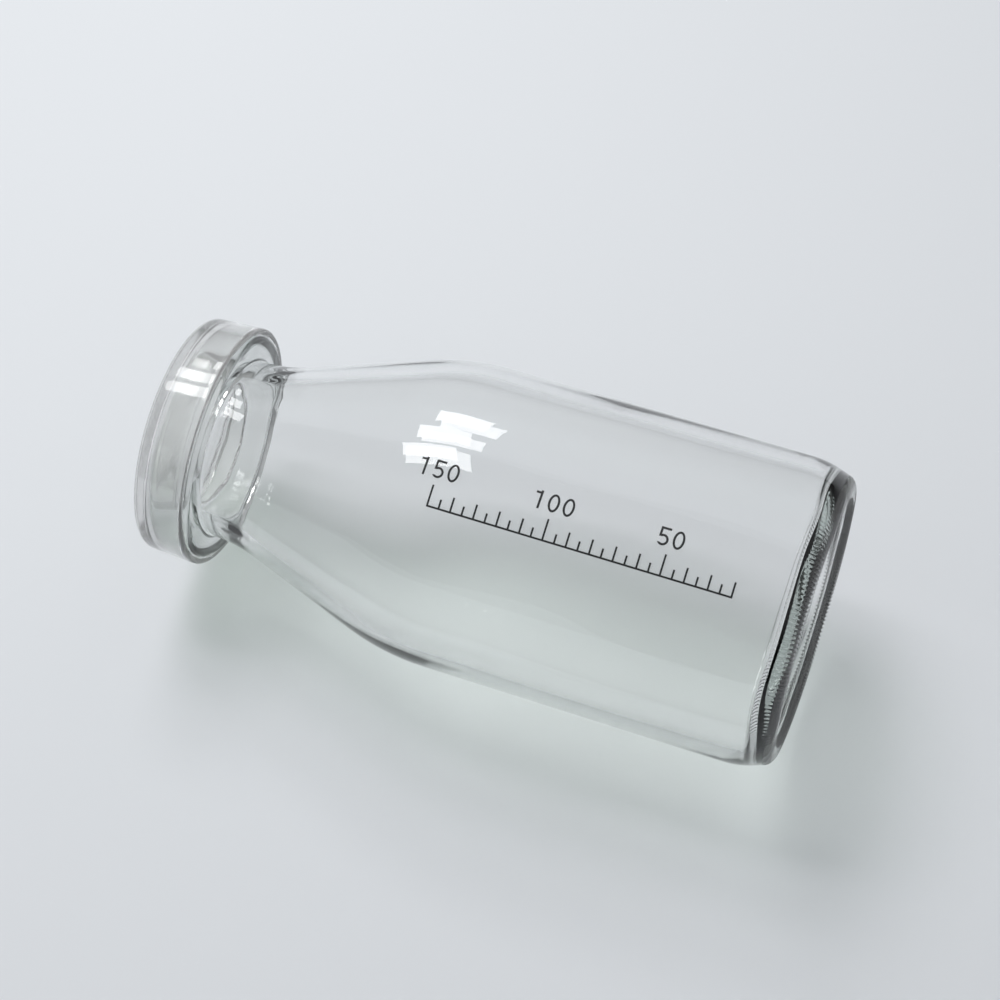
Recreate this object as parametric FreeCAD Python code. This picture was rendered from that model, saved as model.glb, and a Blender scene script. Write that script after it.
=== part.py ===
import FreeCAD, Part
import math
import os

# A clear glass milk bottle of about 200 ml with a clear push-on cap.
# All sizes are in millimetres. The bottle stands upright: +Z is its axis, and the origin is the
# middle of the face it stands on. The printed scale is on the -Y side.

# Glass, overall
bottle_height = 125.6      # standing face to the top of the lip
body_diameter = 59.0
neck_diameter = 35.2       # narrowest outside, just under the lip
wall = 2.5                 # straight side of the body
shoulder_wall = 2.6        # square to the slope of the shoulder
neck_wall = 3.4

# Shoulder: a straight slope that a wide curve joins to the body and another to the neck
shoulder_angle = 18.8      # degrees between the slope and the axis
shoulder_sweep = 48.0      # radius of the curve from the body to the slope
neck_sweep = 28.5          # radius of the curve from the slope up to the lip

# Lip and mouth
lip_height = 8.9
lip_overhang = 4.7         # how far the lip stands out from the neck
lip_round = 2.6            # outer top edge of the lip
lip_lower_round = 1.2      # outer edge of its underside
lip_root_round = 0.8       # inside corner between neck and lip
mouth_flare = 1.4          # the mouth is this much wider than the bore, on the radius
bore_straight = 1.8        # straight bore between the neck's curve and the flare
mouth_round = 1.6          # inner edge of the lip
bore_blend = 6.0           # radius between the flared mouth and the bore

# Base
heel_lean = 2.2            # how far the side leans in above the standing ring
heel_height = 6.0          # where that lean starts
heel_sweep = 18.0          # radius between the side and the lean
heel_round = 2.4           # radius between the lean and the standing ring
ring_setback = 3.2         # from the foot of the lean to the inside of the standing ring
ring_edge_round = 0.8
recess_depth = 1.5         # step up inside the standing ring
recess_slant = 1.5         # how far in that step leans
recess_round = 2.0
push_up = 2.6              # height of the hollow under the base, at the axis
push_up_flat = 12.0        # radius where the hollow starts to come down
push_up_sweep = 30.0
base_thickness = 3.8       # inside floor above the standing face, at the side
floor_rise = 1.2           # the inside floor is this much higher in the middle
floor_flat = 9.0           # radius of the raised middle
floor_sweep = 40.0
floor_round = 2.0          # radius between the inside floor and the side

# Cap
seat_gap = 0.2             # cap plate above the lip
plate = 2.0
cap_wall = 1.2             # skirt, at its open end
cap_draft = 3.2            # degrees that the skirt's outside leans in towards the top
skirt_clearance = 0.35     # skirt around the lip
skirt_short = 0.8          # open end of the skirt above the underside of the lip
grip_clearance = 0.15      # point of the grip ring around the lip, before it is rounded
grip_length = 1.6
grip_rise = 1.3            # middle of the grip ring above the skirt's open end
cap_edge_round = 1.3       # outer edge of the top
skirt_end_round = 0.5      # outer edge of the skirt's open end
skirt_inner_round = 0.2    # inner edge of that end
pocket_round = 1.2         # inside corner between plate and skirt
plug_depth = 5.0
plug_wall = 1.3
plug_clearance = 0.25
plug_round = 0.45

# Printed scale
ink_thickness = 0.05
scale_first = 20           # millilitres
scale_last = 150
scale_step = 5
middle_step = 10
numbered_step = 50
mark_width = 0.35
spine_x = -4.5             # the line along the axis that the marks stand on
short_mark = 1.9
middle_mark = 2.9
long_mark = 4.1
figure_x = 0.9             # foot of the figures
figure_height = 3.4
figure_width = 2.1
figure_pitch = 2.8
stroke = 0.42

# Worked out from the values above
body_radius = body_diameter / 2
neck_radius = neck_diameter / 2
lip_radius = neck_radius + lip_overhang
lip_z = bottle_height - lip_height
bore_radius = neck_radius - neck_wall
mouth_radius = bore_radius + mouth_flare
inner_radius = body_radius - wall
slope = math.radians(shoulder_angle)
neck_corner_z = lip_z - lip_root_round - neck_sweep * math.tan(slope / 2)
shoulder_corner_z = neck_corner_z - (body_radius - neck_radius) / math.tan(slope)
shoulder_start_z = shoulder_corner_z - shoulder_sweep * math.tan(slope / 2)
slope_setback = shoulder_wall / math.cos(slope)
inner_neck_z = neck_corner_z - (slope_setback - neck_wall) / math.tan(slope)
inner_shoulder_z = neck_corner_z - (inner_radius - neck_radius + slope_setback) / math.tan(slope)
flare_z = inner_neck_z + (neck_sweep + neck_wall) * math.tan(slope / 2) + bore_straight
foot_radius = body_radius - heel_lean
straight_start_z = heel_height + heel_sweep * math.tan(math.atan(heel_lean / heel_height) / 2)
shoulder_end_z = shoulder_start_z + shoulder_sweep * math.sin(slope)
ring_inner = foot_radius - ring_setback
floor_top = base_thickness + floor_rise
top_round = min(lip_round, 0.45 * lip_height)
under_round = min(lip_lower_round, lip_overhang - lip_root_round, 0.45 * lip_height)
plate_z = bottle_height + seat_gap
cap_top = plate_z + plate
skirt_z = lip_z + skirt_short
skirt_inner = lip_radius + skirt_clearance
skirt_outer = skirt_inner + cap_wall
cap_top_radius = skirt_outer - (cap_top - skirt_z) * math.tan(math.radians(cap_draft))
skirt_round = min(skirt_end_round, cap_wall - skirt_inner_round)
grip_radius = lip_radius + grip_clearance
grip_z = skirt_z + grip_rise
plug_taper = mouth_flare / (bottle_height - flare_z)
plug_root = mouth_radius - plug_clearance
plug_tip = plug_root - plug_depth * plug_taper
plug_z = plate_z - plug_depth

AXIS_POINT = FreeCAD.Vector(0, 0, 0)
AXIS = FreeCAD.Vector(0, 0, 1)


def profile_edges(corners):
    """Edges of a closed outline of (radius, height, rounding) corners, in the XZ plane.

    Each rounded corner becomes an arc that touches both of its straight sides.
    """
    points = [FreeCAD.Vector(r, 0, z) for r, z, rounding in corners]
    edges = []
    trims = []
    for i, (r, z, rounding) in enumerate(corners):
        point = points[i]
        before = (point - points[i - 1]).normalize()
        after = (points[(i + 1) % len(points)] - point).normalize()
        if rounding == 0:
            trims.append((point, point))
            continue
        half_turn = before.getAngle(after) / 2
        reach = rounding * math.tan(half_turn)
        start = point - before * reach
        end = point + after * reach
        inward = (after - before).normalize()
        middle = point + inward * (rounding / math.cos(half_turn) - rounding)
        edges.append(Part.Arc(start, middle, end).toShape())
        trims.append((start, end))
    for i, (start, end) in enumerate(trims):
        previous_end = trims[i - 1][1]
        if previous_end.distanceToPoint(start) > 1e-6:
            edges.append(Part.LineSegment(previous_end, start).toShape())
    return Part.__sortEdges__(edges)


def turned(corners):
    """Solid made by turning a closed outline about the Z axis."""
    face = Part.Face(Part.Wire(profile_edges(corners)))
    return face.revolve(AXIS_POINT, AXIS, 360)


def inside_corners():
    """Corners of the inside of the glass, from the mouth down to the middle of the floor."""
    return [
        (bore_radius, flare_z, bore_blend),
        (bore_radius, inner_neck_z, neck_sweep + neck_wall),
        (inner_radius, inner_shoulder_z, shoulder_sweep - wall),
        (inner_radius, base_thickness, floor_round),
        (floor_flat, floor_top, floor_sweep),
        (0, floor_top, 0),
    ]


def glass_bottle():
    """The whole bottle, from the hollow under its base, up the outside and down the inside."""
    outside = [
        (0, push_up, 0),
        (push_up_flat, push_up, push_up_sweep),
        (ring_inner - recess_slant, recess_depth, recess_round),
        (ring_inner, 0, ring_edge_round),
        (foot_radius, 0, heel_round),
        (body_radius, heel_height, heel_sweep),
        (body_radius, shoulder_corner_z, shoulder_sweep),
        (neck_radius, neck_corner_z, neck_sweep),
        (neck_radius, lip_z, lip_root_round),
        (lip_radius, lip_z, under_round),
        (lip_radius, bottle_height, top_round),
        (mouth_radius, bottle_height, mouth_round),
    ]
    return turned(outside + inside_corners())


def cavity():
    """The space inside the bottle, filled to the brim."""
    brim = [(0, bottle_height, 0), (mouth_radius, bottle_height, 0)]
    return turned(brim + inside_corners())


def snap_cap():
    """Top plate, skirt with its grip ring, and the plug ring that enters the mouth."""
    half_grip = grip_length / 2
    return turned([
        (0, cap_top, 0),
        (cap_top_radius, cap_top, cap_edge_round),
        (skirt_outer, skirt_z, skirt_round),
        (skirt_inner, skirt_z, skirt_inner_round),
        (skirt_inner, grip_z - half_grip, 0),
        (grip_radius, grip_z, grip_length),
        (skirt_inner, grip_z + half_grip, 0),
        (skirt_inner, plate_z, pocket_round),
        (plug_root, plate_z, plug_round),
        (plug_tip, plug_z, plug_round),
        (plug_tip - plug_wall, plug_z, plug_round),
        (plug_root - plug_wall, plate_z, plug_round),
        (0, plate_z, 0),
    ])


def fill_height(space, millilitres):
    """Height of the surface when the bottle stands and holds this much, found by halving."""
    low = 0.0
    high = bottle_height
    side = body_diameter
    corner = FreeCAD.Vector(-side / 2, -side / 2, 0)
    while high - low > 0.01:
        middle = (low + high) / 2
        slab = Part.makeBox(side, side, middle, corner)
        if space.common(slab).Volume < millilitres * 1000:
            low = middle
        else:
            high = middle
    return (low + high) / 2


def bar(x0, x1, z0, z1):
    """Block over a rectangle of the front, deep enough to cut right through the print."""
    depth = body_radius / 2
    return Part.makeBox(x1 - x0, depth, z1 - z0, FreeCAD.Vector(x0, -body_radius - 1, z0))


def figure_bar(z, along0, along1, up0, up1):
    """Bar of a figure: along runs down the bottle from z, up runs towards +X from the foot."""
    return bar(figure_x + up0, figure_x + up1, z - along1, z - along0)


def figure_ring(z, along, up, half_long, half_high):
    """Oval ring of a figure, centred at (along, up)."""
    front = -body_radius - 1
    centre = FreeCAD.Vector(figure_x + up, front, z - along)
    discs = []
    for inset in (0, stroke):
        radii = (half_high - inset, half_long - inset)
        tip = centre + FreeCAD.Vector(radii[0], 0, 0)
        side = centre + FreeCAD.Vector(0, 0, radii[1])
        if radii[1] > radii[0]:
            tip, side = side, tip
        edge = Part.Ellipse(tip, side, centre).toShape()
        disc = Part.Face(Part.Wire([edge]))
        discs.append(disc.extrude(FreeCAD.Vector(0, body_radius / 2, 0)))
    return discs[0].cut(discs[1])


def figure_nought(z):
    half_wide = figure_width / 2
    half_high = figure_height / 2
    return figure_ring(z, half_wide, half_high, half_wide, half_high)


def figure_one(z):
    middle = figure_width / 2
    stem = figure_bar(z, middle, middle + stroke, 0, figure_height)
    flag_top = figure_height - 0.6 * stroke
    flag = figure_bar(z, middle - 2 * stroke, middle + stroke, flag_top - stroke, flag_top)
    return stem.fuse(flag)


def figure_five(z):
    half_wide = figure_width / 2
    bowl_high = 0.31 * figure_height
    bowl = figure_ring(z, half_wide, bowl_high, half_wide, bowl_high)
    opening = figure_bar(z, -stroke, half_wide, 0.5 * bowl_high, 1.5 * bowl_high)
    roof = figure_bar(z, stroke / 2, figure_width, figure_height - stroke, figure_height)
    back = figure_bar(z, stroke / 2, 1.5 * stroke, 1.5 * bowl_high, figure_height)
    return bowl.cut(opening).fuse(roof).fuse(back)


FIGURES = {"0": figure_nought, "1": figure_one, "5": figure_five}


def number_blocks(number, z):
    """Figures of a number, in a row down the bottle, with the row's middle at height z."""
    digits = str(number)
    start = z + ((len(digits) - 1) * figure_pitch + figure_width) / 2
    return [FIGURES[digit](start - i * figure_pitch) for i, digit in enumerate(digits)]


def ink_layer():
    """Thin layer on the outside of the straight side and the curve above it."""
    turn = slope / 2
    centre = FreeCAD.Vector(body_radius - shoulder_sweep, 0, shoulder_start_z)
    ends = []
    for radius in (shoulder_sweep, shoulder_sweep + ink_thickness):
        foot = FreeCAD.Vector(centre.x + radius, 0, straight_start_z)
        start = FreeCAD.Vector(centre.x + radius, 0, centre.z)
        middle = centre + FreeCAD.Vector(math.cos(turn), 0, math.sin(turn)) * radius
        end = centre + FreeCAD.Vector(math.cos(slope), 0, math.sin(slope)) * radius
        ends.append((foot, start, middle, end))
    (foot0, start0, middle0, end0), (foot1, start1, middle1, end1) = ends
    edges = [
        Part.LineSegment(foot0, start0).toShape(),
        Part.Arc(start0, middle0, end0).toShape(),
        Part.LineSegment(end0, end1).toShape(),
        Part.Arc(start1, middle1, end1).toShape(),
        Part.LineSegment(start1, foot1).toShape(),
        Part.LineSegment(foot1, foot0).toShape(),
    ]
    face = Part.Face(Part.Wire(Part.__sortEdges__(edges)))
    return face.revolve(AXIS_POINT, AXIS, 360)


def mark_length(millilitres):
    """Longest at the numbered marks, shorter at the tens and shortest between them."""
    if millilitres % numbered_step == 0:
        return long_mark
    if millilitres % middle_step == 0:
        return middle_mark
    return short_mark


def printed_scale():
    """Marks at their true fill heights on one line along the axis, with figures at the long ones.

    The scale goes no higher than the curve above the straight side.
    """
    space = cavity()
    heights = {}
    for millilitres in range(scale_first, scale_last + 1, scale_step):
        z = fill_height(space, millilitres)
        if straight_start_z < z - mark_width and z + figure_pitch * 2 < shoulder_end_z:
            heights[millilitres] = z
    half = mark_width / 2
    spine = bar(spine_x, spine_x + mark_width, min(heights.values()) - half, max(heights.values()) + half)
    marks = []
    figures = []
    for millilitres, z in heights.items():
        marks.append(bar(spine_x, spine_x + mark_length(millilitres), z - half, z + half))
        if millilitres % numbered_step == 0:
            figures.extend(number_blocks(millilitres, z))
    layer = ink_layer().common(bar(-body_radius / 2, body_radius / 2, 0, bottle_height))
    solids = []
    for block in [spine.multiFuse(marks)] + figures:
        solids.extend(layer.common(block).Solids)
    return Part.makeCompound(solids)


os.makedirs("parts", exist_ok=True)
for name, shape in (
    ("glass_bottle", glass_bottle()),
    ("snap_cap", snap_cap()),
    ("printed_scale", printed_scale()),
):
    shape.exportStep(f"parts/{name}.step")
    millilitres = round(shape.Volume / 1000, 2)
    print(name, "solids", len(shape.Solids), "volume", millilitres, "ml", "valid", shape.isValid())
print("capacity to the brim", round(cavity().Volume / 1000, 1), "ml")
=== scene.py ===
import math
import bpy
import numpy as np
from mathutils import Matrix, Vector


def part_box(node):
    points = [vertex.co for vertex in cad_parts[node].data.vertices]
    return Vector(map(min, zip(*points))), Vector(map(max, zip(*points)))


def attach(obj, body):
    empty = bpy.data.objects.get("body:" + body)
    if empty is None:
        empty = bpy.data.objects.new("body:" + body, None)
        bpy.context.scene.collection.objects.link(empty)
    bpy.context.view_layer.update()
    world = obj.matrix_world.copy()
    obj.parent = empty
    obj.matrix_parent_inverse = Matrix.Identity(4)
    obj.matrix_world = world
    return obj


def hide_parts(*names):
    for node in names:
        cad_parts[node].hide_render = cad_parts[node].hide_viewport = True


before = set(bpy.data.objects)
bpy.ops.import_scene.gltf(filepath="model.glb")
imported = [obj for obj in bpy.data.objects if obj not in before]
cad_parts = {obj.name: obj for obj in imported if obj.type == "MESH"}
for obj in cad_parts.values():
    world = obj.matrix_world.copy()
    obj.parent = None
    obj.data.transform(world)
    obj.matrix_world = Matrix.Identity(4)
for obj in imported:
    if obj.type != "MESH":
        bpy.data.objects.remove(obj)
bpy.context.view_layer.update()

# A clear glass milk bottle with a clear push-on cap. The bottle stands upright on z = 0, and the camera
# sees it as it lies on its side on a pale table, so the table is a plane that touches its side.
# Sizes of the glass and the cap are in millimetres and everything in the scene is in metres.
MM = 0.001

# Glass, overall
glass_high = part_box("glass_bottle")[1]
body_radius = glass_high.x / MM
bottle_height = glass_high.z / MM
neck_radius = 17.6
wall = 2.5
shoulder_wall = 2.6
neck_wall = 3.4
shoulder_slope = math.radians(18.8)
shoulder_sweep = 48.0
neck_sweep = 28.5

# Lip and mouth
lip_height = 8.9
lip_overhang = 4.7
lip_round = 2.6
lip_lower_round = 1.2
lip_root_round = 0.8
mouth_flare = 1.4
mouth_round = 1.6
bore_straight = 1.8
bore_blend = 6.0

# Base
heel_lean = 2.2
heel_height = 6.0
heel_sweep = 18.0
heel_round = 2.4
ring_setback = 3.2
ring_edge_round = 0.8
recess_depth = 1.5
recess_slant = 1.5
recess_round = 2.0
push_up = 2.6
push_up_flat = 12.0
push_up_sweep = 30.0
base_thickness = 3.8
floor_rise = 1.2
floor_flat = 9.0
floor_sweep = 40.0
floor_round = 2.0

# Stippled ring that the bottle stands on: short bars with grooves between them, scuffed by use
stipple_bars = 200
stipple_depth = 0.3
stipple_top = 1.3
stipple_edge = 0.3         # the stippling fades out over this height
groove_level = 0.5         # a groove's depth, as a share, halfway from its middle to the middle of a bar
groove_swing = 1.2         # over groove_level, so that bars and grooves have flat middles

# Unevenness of the blown inside, from none at the mouth's flare to all of it blown_fade farther down
blown_fade = 10.0
# Its waves: (size, waves around, height of one wave, phase)
inside_waves = (
    (0.13, 2, 83.0, 0.4), (0.08, 3, 61.0, 2.1), (0.04, 5, 43.0, 4.0), (0.02, 1, 19.0, 1.0),
    (0.02, 13, 190.0, 0.7), (0.012, 23, 140.0, 2.6),
)
# Waves of the floor: (size, radians to each millimetre, direction in radians, phase)
floor_waves = ((0.25, 0.16, 0.9, 0.3), (0.18, 0.29, 2.3, 1.7), (0.10, 0.47, 4.1, 0.9))

# Cap
cap_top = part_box("snap_cap")[1].z / MM
seat_gap = 0.2
cap_wall = 1.2
cap_draft = math.radians(3.2)
skirt_clearance = 0.35
skirt_short = 0.8
skirt_round = 0.5
skirt_inner_round = 0.2
grip_clearance = 0.15
grip_length = 1.6
grip_rise = 1.3
cap_edge_round = 1.3
pocket_round = 1.2
plug_depth = 5.0
plug_wall = 1.3
plug_clearance = 0.25
plug_round = 0.45

# Worked out from the values above
lip_z = bottle_height - lip_height
lip_radius = neck_radius + lip_overhang
bore_radius = neck_radius - neck_wall
mouth_radius = bore_radius + mouth_flare
inner_radius = body_radius - wall
neck_corner_z = lip_z - lip_root_round - neck_sweep * math.tan(shoulder_slope / 2)
shoulder_corner_z = neck_corner_z - (body_radius - neck_radius) / math.tan(shoulder_slope)
slope_setback = shoulder_wall / math.cos(shoulder_slope)
inner_neck_z = neck_corner_z - (slope_setback - neck_wall) / math.tan(shoulder_slope)
inner_shoulder_z = neck_corner_z - (inner_radius - neck_radius + slope_setback) / math.tan(shoulder_slope)
flare_z = inner_neck_z + (neck_sweep + neck_wall) * math.tan(shoulder_slope / 2) + bore_straight
foot_radius = body_radius - heel_lean
ring_inner = foot_radius - ring_setback
floor_top = base_thickness + floor_rise
plate_z = bottle_height + seat_gap
skirt_z = lip_z + skirt_short
skirt_inner = lip_radius + skirt_clearance
skirt_outer = skirt_inner + cap_wall
cap_top_radius = skirt_outer - (cap_top - skirt_z) * math.tan(cap_draft)
grip_radius = lip_radius + grip_clearance
grip_z = skirt_z + grip_rise
plug_root = mouth_radius - plug_clearance
plug_tip = plug_root - plug_depth * mouth_flare / (bottle_height - flare_z)
plug_z = plate_z - plug_depth

# How finely the surfaces are cut: columns around, and the longest step on straight stretches and on arcs
COLUMNS_PER_BAR = 3        # one on the bar and two in the groove beside it
BOTTLE_COLUMNS = COLUMNS_PER_BAR * stipple_bars
BOTTLE_RUN = 4.5
BOTTLE_STEP = 2.0
CAP_COLUMNS = 360
CAP_RUN = 2.0
CAP_STEP = 0.8
ARC_STEPS = 5              # fewest steps to a rounded corner
SAME_POINT = 1e-4          # points of an outline closer than this are one point
SAME_HEIGHT = 1e-3         # a point closer to the brim than this is on it


# Shapes

def straight_run(start, end, step):
    """Points between two ends, the ends left out, in equal steps no longer than step."""
    pieces = max(1, math.ceil(np.linalg.norm(end - start) / step))
    share = np.linspace(0, 1, pieces + 1)[1:-1, None]
    return start + share * (end - start)


def rounded_outline(corners, run, step):
    """Points (radius, height) along an outline of (radius, height, rounding) corners.

    Straight stretches are cut in steps no longer than run and arcs in steps no longer than step.
    A rounded corner is an arc that touches both of its sides: from its start it goes rounding * sin(a) along
    the first side and rounding * (1 - cos(a)) towards the arc's centre, for a from 0 to the turn.
    """
    points = np.array([corner[:2] for corner in corners], float)
    runs = [points[:1]]
    for i in range(1, len(corners) - 1):
        rounding = corners[i][2]
        came = points[i] - points[i - 1]
        goes = points[i + 1] - points[i]
        came = came / np.linalg.norm(came)
        goes = goes / np.linalg.norm(goes)
        turn = math.acos(np.clip(came @ goes, -1, 1))
        start = points[i] - came * rounding * math.tan(turn / 2)
        side = np.sign(came[0] * goes[1] - came[1] * goes[0])
        to_centre = side * np.array([-came[1], came[0]])
        steps = max(ARC_STEPS, math.ceil(rounding * turn / step))
        angle = np.linspace(0, turn, steps + 1)[:, None]
        arc = start + rounding * (np.sin(angle) * came + (1 - np.cos(angle)) * to_centre)
        runs += [straight_run(runs[-1][-1], start, run), arc]
    runs += [straight_run(runs[-1][-1], points[-1], run), points[-1:]]
    outline = np.vstack(runs)
    moved = np.linalg.norm(np.diff(outline, axis=0), axis=1) > SAME_POINT
    return outline[np.concatenate([[True], moved])]


def turned_piece(name, radius, height, stippled):
    """Closed surface turned about Z from (rows, columns) arrays of radius and height in millimetres.

    Row i and column j is the point (radius * cos(t), radius * sin(t), height) with t = j / columns of a full
    turn. The first and last rows lie on the axis, so each becomes one point with a fan of triangles, and the
    rows between them are rings, joined by bands of quads. The outline is drawn so that every face points out
    of the material. The array stippled, from 0 to 1, is kept as an attribute of the points for the finish.
    """
    rows, columns = radius.shape
    turn = np.arange(columns) * 2 * math.pi / columns
    points = np.stack([radius * np.cos(turn), radius * np.sin(turn), height], axis=-1)
    rings = points[1:-1].reshape(-1, 3)
    vertices = np.vstack([points[0, :1], rings, points[-1, :1]]) * MM
    column = np.arange(columns)
    following = (column + 1) % columns
    bands = rows - 3
    lower = 1 + np.arange(bands)[:, None] * columns
    upper = lower + columns
    quads = np.stack([lower + column, lower + following, upper + following, upper + column], -1)
    last_ring = 1 + bands * columns
    first_pole = np.zeros(columns, int)
    last_pole = np.full(columns, len(vertices) - 1)
    fans = np.vstack([
        np.stack([first_pole, 1 + following, 1 + column], -1),
        np.stack([last_ring + column, last_ring + following, last_pole], -1),
    ])
    mesh = bpy.data.meshes.new(name)
    mesh.from_pydata(vertices.tolist(), [], quads.reshape(-1, 4).tolist() + fans.tolist())
    mesh.shade_smooth()
    marked = np.concatenate([stippled[0, :1], stippled[1:-1].ravel(), stippled[-1, :1]])
    mesh.attributes.new("stippled", "FLOAT", "POINT").data.foreach_set("value", marked)
    piece = bpy.data.objects.new(name, mesh)
    bpy.context.scene.collection.objects.link(piece)
    return piece


def smooth_step(value, low, high):
    """0 below low, 1 above high and a smooth rise between: 3 s^2 - 2 s^3 with s the share of the way."""
    share = np.clip((value - low) / (high - low), 0, 1)
    return share * share * (3 - 2 * share)


def bottle_surface():
    """The blown bottle: its outline turned about Z, with an uneven inside and a stippled standing ring.

    The inside is moved by a sum of sines of angle and height, the floor by a sum of sines of x and y. The
    ring's grooves go in square to the outline by a cosine with one wave to each bar, limited to 0 and 1.
    """
    outline = rounded_outline([
        (0, push_up, 0),
        (push_up_flat, push_up, push_up_sweep),
        (ring_inner - recess_slant, recess_depth, recess_round),
        (ring_inner, 0, ring_edge_round),
        (foot_radius, 0, heel_round),
        (body_radius, heel_height, heel_sweep),
        (body_radius, shoulder_corner_z, shoulder_sweep),
        (neck_radius, neck_corner_z, neck_sweep),
        (neck_radius, lip_z, lip_root_round),
        (lip_radius, lip_z, lip_lower_round),
        (lip_radius, bottle_height, lip_round),
        (mouth_radius, bottle_height, mouth_round),
        (bore_radius, flare_z, bore_blend),
        (bore_radius, inner_neck_z, neck_sweep + neck_wall),
        (inner_radius, inner_shoulder_z, shoulder_sweep - wall),
        (inner_radius, base_thickness, floor_round),
        (floor_flat, floor_top, floor_sweep),
        (0, floor_top, 0),
    ], BOTTLE_RUN, BOTTLE_STEP)
    turn = np.arange(BOTTLE_COLUMNS) * 2 * math.pi / BOTTLE_COLUMNS
    radius = np.repeat(outline[:, :1], BOTTLE_COLUMNS, axis=1)
    height = np.repeat(outline[:, 1:], BOTTLE_COLUMNS, axis=1)
    mouth_row = np.flatnonzero(outline[:, 1] > bottle_height - SAME_HEIGHT)[-1]
    inside = (np.arange(len(outline)) > mouth_row)[:, None]
    wave = sum(
        size * np.sin(around * turn + 2 * math.pi * height / length + phase)
        for size, around, length, phase in inside_waves
    )
    blown = inside * smooth_step(flare_z - height, 0, blown_fade)
    x, y = radius * np.cos(turn), radius * np.sin(turn)
    swell = sum(
        size * np.sin(pitch * (x * math.cos(way) + y * math.sin(way)) + phase)
        for size, pitch, way, phase in floor_waves
    )
    floor = inside * smooth_step(base_thickness + floor_round - height, 0, floor_round)
    ring = ~inside & (radius > ring_inner - recess_slant)
    stippled = ring * smooth_step(stipple_top - height, 0, stipple_edge)
    groove = np.clip(groove_level - groove_swing * np.cos(stipple_bars * turn), 0, 1)
    along = np.gradient(outline, axis=0)
    along /= np.linalg.norm(along, axis=1)[:, None]
    dent = stipple_depth * stippled * groove
    moved_radius = radius + blown * (1 - floor) * wave - dent * along[:, 1:]
    moved_height = height + floor * swell + dent * along[:, :1]
    return turned_piece("bottle", moved_radius, moved_height, stippled)


def cap_surface():
    """The moulded cap: plug ring, pocket, grip ring, skirt and plate in one outline turned about Z."""
    half_grip = grip_length / 2
    outline = rounded_outline([
        (0, plate_z, 0),
        (plug_root - plug_wall, plate_z, plug_round),
        (plug_tip - plug_wall, plug_z, plug_round),
        (plug_tip, plug_z, plug_round),
        (plug_root, plate_z, plug_round),
        (skirt_inner, plate_z, pocket_round),
        (skirt_inner, grip_z + half_grip, 0),
        (grip_radius, grip_z, grip_length),
        (skirt_inner, grip_z - half_grip, 0),
        (skirt_inner, skirt_z, skirt_inner_round),
        (skirt_outer, skirt_z, skirt_round),
        (cap_top_radius, cap_top, cap_edge_round),
        (0, cap_top, 0),
    ], CAP_RUN, CAP_STEP)
    radius = np.repeat(outline[:, :1], CAP_COLUMNS, axis=1)
    height = np.repeat(outline[:, 1:], CAP_COLUMNS, axis=1)
    return turned_piece("cap", radius, height, np.zeros_like(radius))


# Finishes

def linear(hex_code):
    """Linear colour of an sRGB hex value such as 8fa39a, by the two-part sRGB curve."""
    srgb = [int(hex_code[i:i + 2], 16) / 255 for i in (0, 2, 4)]
    return [c / 12.92 if c <= 0.04045 else ((c + 0.055) / 1.055) ** 2.4 for c in srgb] + [1.0]


def add(tree, kind, inputs=None, links=None, **settings):
    """Adds a node: settings are its options, inputs are socket values and links join outputs to sockets."""
    node = tree.nodes.new(kind)
    for name, value in settings.items():
        setattr(node, name, value)
    for socket, value in (inputs or {}).items():
        node.inputs[socket].default_value = value
    for socket, output in (links or {}).items():
        tree.links.new(output, node.inputs[socket])
    return node


def empty_material(name):
    """New material without nodes, and its node tree."""
    material = bpy.data.materials.new(name)
    material.use_nodes = True
    material.node_tree.nodes.clear()
    return material, material.node_tree


def soda_lime_glass():
    """Soda-lime flint glass, blown in a mould and fire polished.

    It is clear and very glossy, with a faint ripple of the mould's skin, and grey-green where it is deep.
    The stippled ring that it stands on is scuffed by use, so it is rougher and a little white there.
    Lamps shine through it on to the table, weakened at each surface and most where they graze it.
    """
    material, tree = empty_material("soda_lime_glass")
    ripple_mm = 9.0
    ripple_height_mm = 0.4
    ripple_strength = 0.006
    scuffed_roughness = 0.08
    scuffed_clearness = 0.85
    place = add(tree, "ShaderNodeTexCoord")
    ripple = add(tree, "ShaderNodeTexNoise", {"Scale": 1 / (ripple_mm * MM), "Detail": 2.0},
                 {"Vector": place.outputs["Object"]})
    skin = add(tree, "ShaderNodeBump", {"Strength": ripple_strength, "Distance": ripple_height_mm * MM},
               {"Height": ripple.outputs["Fac"]})
    stippled = add(tree, "ShaderNodeAttribute", attribute_name="stippled")
    scuffed = add(tree, "ShaderNodeMapRange", {"To Min": 0.0, "To Max": scuffed_roughness},
                  {"Value": stippled.outputs["Fac"]})
    clearness = add(tree, "ShaderNodeMapRange", {"To Min": 1.0, "To Max": scuffed_clearness},
                    {"Value": stippled.outputs["Fac"]})
    glass = add(tree, "ShaderNodeBsdfPrincipled",
                {"Base Color": linear("ffffff"), "IOR": 1.52},
                {"Normal": skin.outputs["Normal"], "Roughness": scuffed.outputs["Result"],
                 "Transmission Weight": clearness.outputs["Result"]})
    graze = add(tree, "ShaderNodeLayerWeight", {"Blend": 0.2})
    passed = add(tree, "ShaderNodeMix", {"A": linear("f2f4f2"), "B": linear("949896")},
                 {0: graze.outputs["Facing"]}, data_type="RGBA")
    through = add(tree, "ShaderNodeBsdfTransparent", None, {"Color": passed.outputs[2]})
    path = add(tree, "ShaderNodeLightPath")
    mixed = add(tree, "ShaderNodeMixShader", None, {
        0: path.outputs["Is Shadow Ray"], 1: glass.outputs[0], 2: through.outputs[0]})
    depth = add(tree, "ShaderNodeVolumeAbsorption", {"Color": linear("c0cdc7"), "Density": 17.0})
    add(tree, "ShaderNodeOutputMaterial", None, {"Surface": mixed.outputs[0], "Volume": depth.outputs[0]})
    return material


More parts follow.
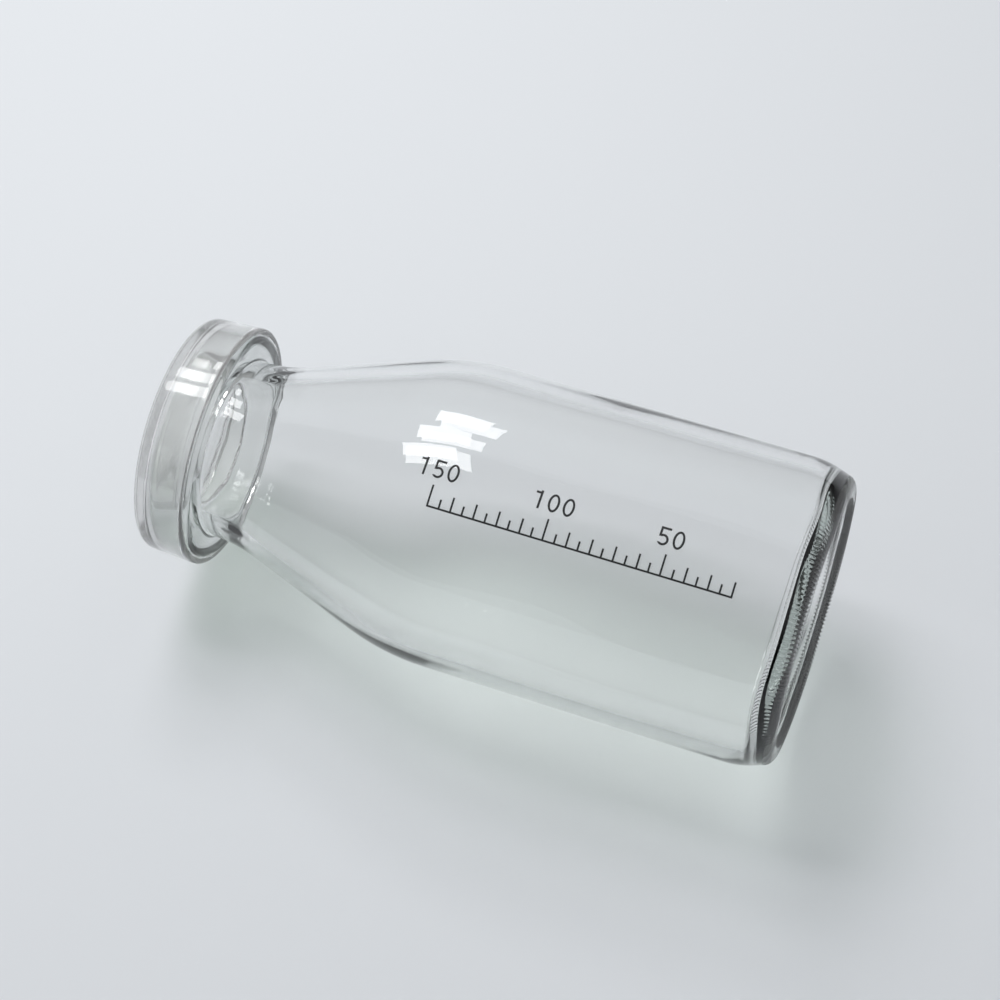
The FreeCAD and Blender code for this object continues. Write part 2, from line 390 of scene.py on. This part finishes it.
def clear_polyethylene():
    """Clear soft polyethylene, injection moulded: glossy and faintly hazy, in soft patches."""
    material, tree = empty_material("clear_polyethylene")
    haze_mm = 5.0
    clearest, haziest = 0.04, 0.10
    place = add(tree, "ShaderNodeTexCoord")
    haze = add(tree, "ShaderNodeTexNoise", {"Scale": 1 / (haze_mm * MM), "Detail": 3.0},
               {"Vector": place.outputs["Object"]})
    rough = add(tree, "ShaderNodeMapRange", {"To Min": clearest, "To Max": haziest},
                {"Value": haze.outputs["Fac"]})
    plastic = add(tree, "ShaderNodeBsdfPrincipled",
                  {"Base Color": linear("ffffff"), "IOR": 1.5, "Specular IOR Level": 0.3,
                   "Transmission Weight": 0.9},
                  {"Roughness": rough.outputs["Result"]})
    through = add(tree, "ShaderNodeBsdfTransparent", {"Color": linear("eceeec")})
    path = add(tree, "ShaderNodeLightPath")
    mixed = add(tree, "ShaderNodeMixShader", None, {
        0: path.outputs["Is Shadow Ray"], 1: plastic.outputs[0], 2: through.outputs[0]})
    add(tree, "ShaderNodeOutputMaterial", None, {"Surface": mixed.outputs[0]})
    return material


def fired_ink():
    """Black ceramic ink, screen printed and fired on to the glass: satin, with a fine grain in its gloss."""
    material, tree = empty_material("fired_black_ink")
    grain_mm = 0.25
    smoothest, roughest = 0.38, 0.62
    place = add(tree, "ShaderNodeTexCoord")
    grain = add(tree, "ShaderNodeTexNoise", {"Scale": 1 / (grain_mm * MM), "Detail": 2.0},
                {"Vector": place.outputs["Object"]})
    rough = add(tree, "ShaderNodeMapRange", {"To Min": smoothest, "To Max": roughest},
                {"Value": grain.outputs["Fac"]})
    ink = add(tree, "ShaderNodeBsdfPrincipled", {"Base Color": linear("1b1c1e")},
              {"Roughness": rough.outputs["Result"]})
    add(tree, "ShaderNodeOutputMaterial", None, {"Surface": ink.outputs[0]})
    return material


# Pieces

bottle = bottle_surface()
bottle.data.materials.append(soda_lime_glass())
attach(bottle, "bottle")
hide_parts("glass_bottle")

cap = cap_surface()
cap.data.materials.append(clear_polyethylene())
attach(cap, "cap")
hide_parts("snap_cap")

scale_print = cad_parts["printed_scale"]
scale_print.data.materials.clear()
scale_print.data.materials.append(fired_ink())

# Stage: the table that the bottle's side lies on, and a floor under its base for the upright views
table_turn = math.radians(25.5)
table_up = Vector((math.sin(table_turn), -math.cos(table_turn), 0))
bottle_axis = Vector((0, 0, 1))
stage_size = 4.0
stage_white = "dde0e3"
floor_solid = 0.10         # the floor is solid out to this distance from the bottle's axis
floor_end = 0.32           # and has faded out here


def stage_plane(name, centre, along, across, material):
    """Square stage_size wide: centre plus or minus half of it along two directions."""
    half = stage_size / 2
    signs = ((-1, -1), (1, -1), (1, 1), (-1, 1))
    corners = [centre + along * half * a + across * half * b for a, b in signs]
    mesh = bpy.data.meshes.new(name)
    mesh.from_pydata(corners, [], [(0, 1, 2, 3)])
    mesh.materials.append(material)
    plane = bpy.data.objects.new(name, mesh)
    bpy.context.scene.collection.objects.link(plane)
    return plane


def table_paint():
    """Matt white laminate seen from its front only, so that the views from behind aren't hidden by it."""
    material, tree = empty_material("table_white")
    paint = add(tree, "ShaderNodeBsdfPrincipled",
                {"Base Color": linear(stage_white), "Roughness": 0.6, "Specular IOR Level": 0.2})
    clear = add(tree, "ShaderNodeBsdfTransparent")
    side = add(tree, "ShaderNodeNewGeometry")
    shown = add(tree, "ShaderNodeMixShader", None, {
        0: side.outputs["Backfacing"], 1: paint.outputs[0], 2: clear.outputs[0]})
    add(tree, "ShaderNodeOutputMaterial", None, {"Surface": shown.outputs[0]})
    return material


def floor_paint():
    """The same white under the base, seen from above by the camera only and fading out with distance."""
    material, tree = empty_material("floor_white")
    paint = add(tree, "ShaderNodeBsdfDiffuse", {"Color": linear(stage_white)})
    clear = add(tree, "ShaderNodeBsdfTransparent")
    path = add(tree, "ShaderNodeLightPath")
    side = add(tree, "ShaderNodeNewGeometry")
    front = add(tree, "ShaderNodeMath", {0: 1.0}, {1: side.outputs["Backfacing"]}, operation="SUBTRACT")
    place = add(tree, "ShaderNodeTexCoord")
    reach = add(tree, "ShaderNodeVectorMath", None, {0: place.outputs["Object"]}, operation="LENGTH")
    near = add(tree, "ShaderNodeMapRange",
               {"From Min": floor_solid, "From Max": floor_end, "To Min": 1.0, "To Max": 0.0},
               {"Value": reach.outputs["Value"]}, interpolation_type="SMOOTHSTEP")
    above = add(tree, "ShaderNodeMath", None, {0: front.outputs[0], 1: path.outputs["Is Camera Ray"]},
                operation="MULTIPLY")
    seen = add(tree, "ShaderNodeMath", None, {0: above.outputs[0], 1: near.outputs["Result"]},
               operation="MULTIPLY")
    shown = add(tree, "ShaderNodeMixShader", None, {
        0: seen.outputs[0], 1: clear.outputs[0], 2: paint.outputs[0]})
    add(tree, "ShaderNodeOutputMaterial", None, {"Surface": shown.outputs[0]})
    return material


stage_plane("table", table_up * -body_radius * MM, bottle_axis, table_up.cross(bottle_axis), table_paint())
stage_plane("floor", Vector((0, 0, 0)), Vector((1, 0, 0)), Vector((0, 1, 0)), floor_paint())

# Light: a window of three panes high behind the bottle, towards its cap, in a soft room
window_way = Vector((0.679, -0.621, 0.392)).normalized()
window_distance = 0.75
window_aim = Vector((0, 0, bottle_height / 2 * MM))
pane_radiance = 7.5
glow_radiance = 3.4
# Panes and glow: (across, along, width, height), as shares of the window's distance
panes = ((-0.255, -0.065, 0.17, 0.23), (0.0, -0.015, 0.17, 0.31), (0.25, 0.05, 0.17, 0.40))
window_glow = (0.0, 0.0, 0.68, 0.45)
pane_rise = (bottle_axis - window_way * window_way.dot(bottle_axis)).normalized()
pane_side = window_way.cross(pane_rise)


def window_lamp(name, across, along, width, height, radiance):
    """Area lamp in the window's plane, facing the bottle, with a power of radiance * pi * area."""
    lamp = bpy.data.lights.new(name, "AREA")
    lamp.shape = "RECTANGLE"
    lamp.size = width * window_distance
    lamp.size_y = height * window_distance
    lamp.energy = radiance * math.pi * lamp.size * lamp.size_y
    pane = bpy.data.objects.new(name, lamp)
    place = window_aim + window_distance * (window_way + pane_side * across + pane_rise * along)
    turned = Matrix((pane_side, pane_rise, window_way)).transposed().to_4x4()
    pane.matrix_world = Matrix.Translation(place) @ turned
    pane.visible_camera = False
    bpy.context.scene.collection.objects.link(pane)
    return pane


for number, pane_place in enumerate(panes, 1):
    window_lamp(f"window_pane_{number}", *pane_place, pane_radiance)
# The light that the window scatters into the room: wide and soft, with no mirror image in the glass
glow = window_lamp("window_glow", *window_glow, glow_radiance)
glow.visible_glossy = False
glow.visible_transmission = False

# Room: its up is halfway from the table's up to the window. Its grey goes by the height of a direction, from
# 0 straight down to 1 straight up, with a dark band around the horizon: (height, grey)
room_up = (table_up + window_way).normalized()
room_below = (0.30, 0.31, 0.32, 1)
room_above = (0.50, 0.51, 0.53, 1)
room_levels = ((0.40, 0.12), (0.47, 0.04), (0.55, 0.05), (0.62, 0.20), (0.72, 0.45))
room_green, room_blue = 1.01, 1.03
backdrop = "e6e8eb"


def soft_room():
    """World whose grey follows the height of a direction, and a plain pale backdrop for the camera."""
    world = bpy.data.worlds.new("soft_room")
    world.use_nodes = True
    tree = world.node_tree
    tree.nodes.clear()
    way = add(tree, "ShaderNodeTexCoord")
    rise = add(tree, "ShaderNodeVectorMath", {1: room_up}, {0: way.outputs["Generated"]},
               operation="DOT_PRODUCT")
    share = add(tree, "ShaderNodeMapRange", {"From Min": -1.0, "From Max": 1.0},
                {"Value": rise.outputs["Value"]})
    shade = add(tree, "ShaderNodeValToRGB", None, {"Fac": share.outputs["Result"]})
    ramp = shade.color_ramp
    ramp.elements[0].position = 0.0
    ramp.elements[0].color = room_below
    ramp.elements[1].position = 1.0
    ramp.elements[1].color = room_above
    for position, level in room_levels:
        ramp.elements.new(position).color = (level, level * room_green, level * room_blue, 1)
    room = add(tree, "ShaderNodeBackground", None, {"Color": shade.outputs["Color"]})
    pale = add(tree, "ShaderNodeBackground", {"Color": linear(backdrop)})
    path = add(tree, "ShaderNodeLightPath")
    seen = add(tree, "ShaderNodeMixShader", None, {
        0: path.outputs["Is Camera Ray"], 1: room.outputs[0], 2: pale.outputs[0]})
    add(tree, "ShaderNodeOutputWorld", None, {"Surface": seen.outputs[0]})
    return world


bpy.context.scene.world = soft_room()

# Camera: the photograph's view, with the table's normal upright in the picture
camera_place = Vector((-65.4, -441.5, -30.4)) * MM
view_way = Vector((0.1543, 0.9663, 0.2063)).normalized()
view_lens = 86.4
view_sensor = 36.0
view_start = 0.01
lens = bpy.data.cameras.new("camera")
lens.lens = view_lens
lens.sensor_width = view_sensor
lens.clip_start = view_start
camera = bpy.data.objects.new("camera", lens)
picture_right = view_way.cross(table_up).normalized()
picture_up = picture_right.cross(view_way)
camera.matrix_world = Matrix.Translation(camera_place) @ Matrix(
    (picture_right, picture_up, -view_way)).transposed().to_4x4()
bpy.context.scene.collection.objects.link(camera)
bpy.context.scene.camera = camera

# Enough bounces for light to cross both walls of the glass and of the cap several times
glass_bounces = 24
clear_bounces = 32
view_settings = bpy.context.scene.view_settings
view_settings.view_transform = "Standard"
light_paths = bpy.context.scene.cycles
light_paths.max_bounces = glass_bounces
light_paths.transmission_bounces = glass_bounces
light_paths.transparent_max_bounces = clear_bounces
light_paths.caustics_refractive = True
light_paths.caustics_reflective = False
